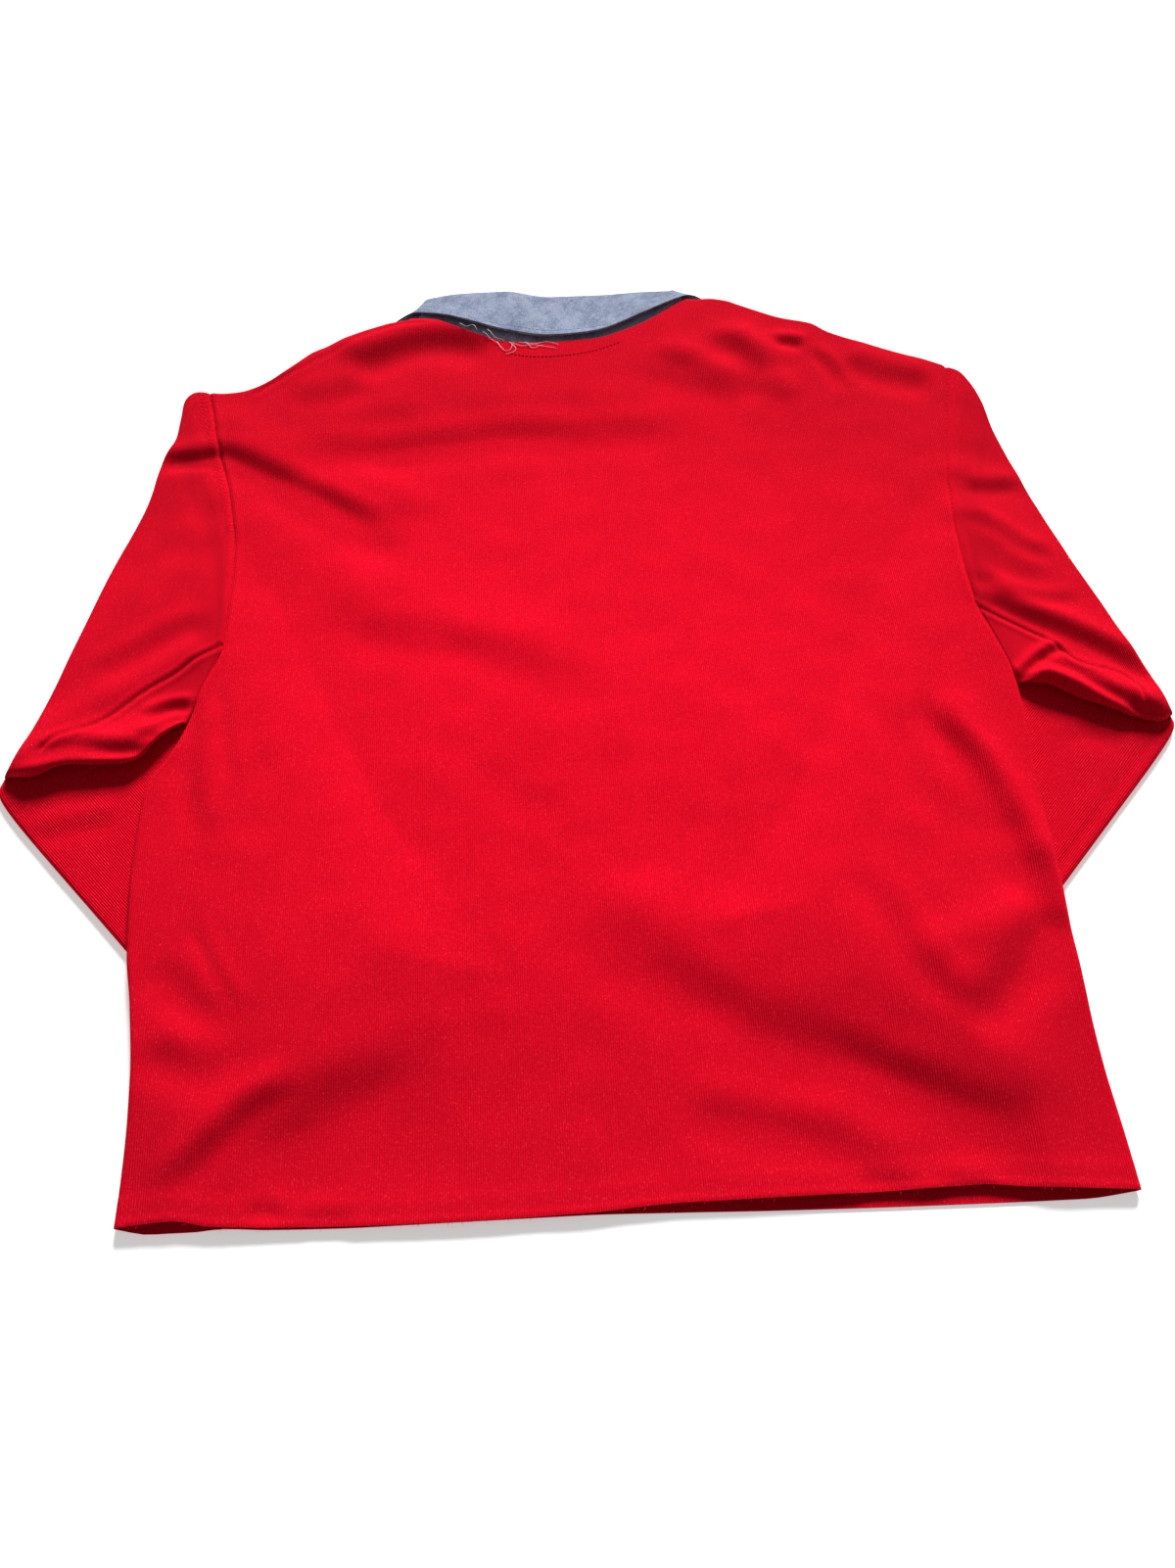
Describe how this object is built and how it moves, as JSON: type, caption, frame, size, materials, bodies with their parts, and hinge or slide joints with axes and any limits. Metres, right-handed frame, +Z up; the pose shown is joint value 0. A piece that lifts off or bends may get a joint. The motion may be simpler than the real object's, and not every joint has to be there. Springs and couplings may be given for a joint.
{
  "type": "rugby shirt",
  "caption": "Long-sleeved rugby shirt in heavy cotton jersey with a woven cotton collar, laid flat with its back up and its forearms tucked under, to wear on the upper body.",
  "frame": {"origin": "on the flat underside of the front panel, near the middle of the shirt, where it rests on the surface", "axes": "+X to the right of the shirt as it lies with its back up (sleeve to sleeve), +Y from the hem to the collar, +Z up"},
  "size_m": [0.8454, 0.7888, 0.0191],
  "materials": {
    "jersey": "matt heavy cotton jersey with a soft fuzz",
    "rib": "matt cotton rib knit",
    "collar_cloth": "matt pale woven cotton chambray",
    "button_rubber": "matt pale rubber"
  },
  "bodies": {
    "root": {"back_panel": "jersey", "front_panel": "jersey", "sleeve_left_upper": "jersey", "sleeve_right_upper": "jersey", "sleeve_left_forearm": "jersey", "sleeve_right_forearm": "jersey", "cuff_left": "rib", "cuff_right": "rib", "collar_stand": "collar_cloth", "collar_leaf": "collar_cloth", "placket": "jersey", "button_1": "button_rubber", "button_2": "button_rubber", "button_3": "button_rubber"}
  },
  "joints": []
}
